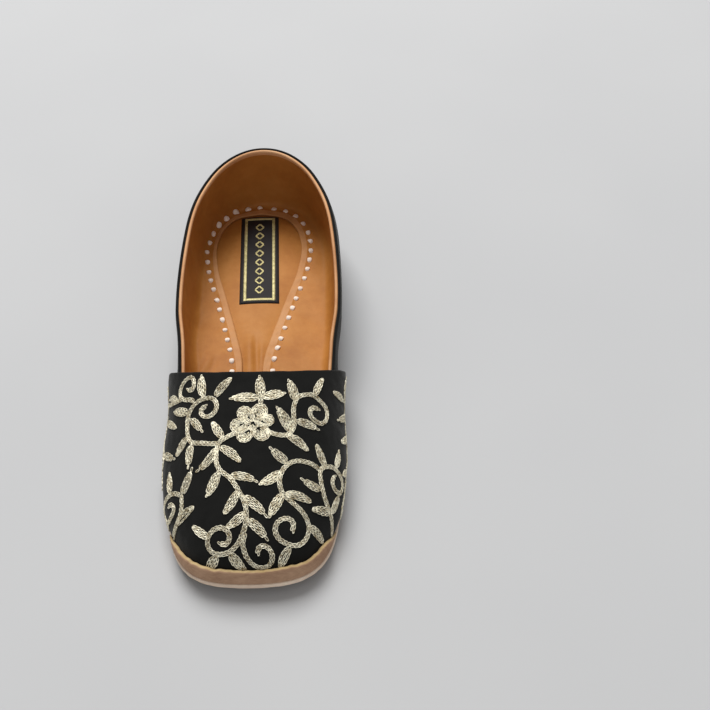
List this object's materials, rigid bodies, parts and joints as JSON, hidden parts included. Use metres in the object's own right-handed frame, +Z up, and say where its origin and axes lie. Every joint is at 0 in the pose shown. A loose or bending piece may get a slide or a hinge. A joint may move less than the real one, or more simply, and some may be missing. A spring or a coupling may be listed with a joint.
{
  "type": "mojari shoe",
  "caption": "Flat slip-on mojari shoe: hollow leather-lined velvet upper with an open collar, an embroidered vamp piece, a turned-up toe rand and a flat leather sole.",
  "frame": {"origin": "on the floor under the middle of the shoe's bounding box", "axes": "+Z up; the toe points to -Y and the heel to +Y; +X across the shoe, to the right for someone who faces the toe"},
  "size_m": [0.0888, 0.255, 0.0542],
  "materials": {
    "sole_leather": "raw undyed sole leather with a light cut edge",
    "rand_leather": "reddish brown leather, matt, with a pale cut edge",
    "tan_leather": "smooth tan lining leather, soft sheen",
    "black_velvet": "black velvet with pale gold chain-stitch embroidery",
    "label_cloth": "black woven patch with a thin gold border"
  },
  "bodies": {
    "root": {"outsole": "sole_leather", "rand": "rand_leather", "insole": "tan_leather", "lining_flange": "tan_leather", "upper": "tan_leather", "vamp_cover": "black_velvet", "label_patch": "label_cloth"}
  },
  "joints": []
}
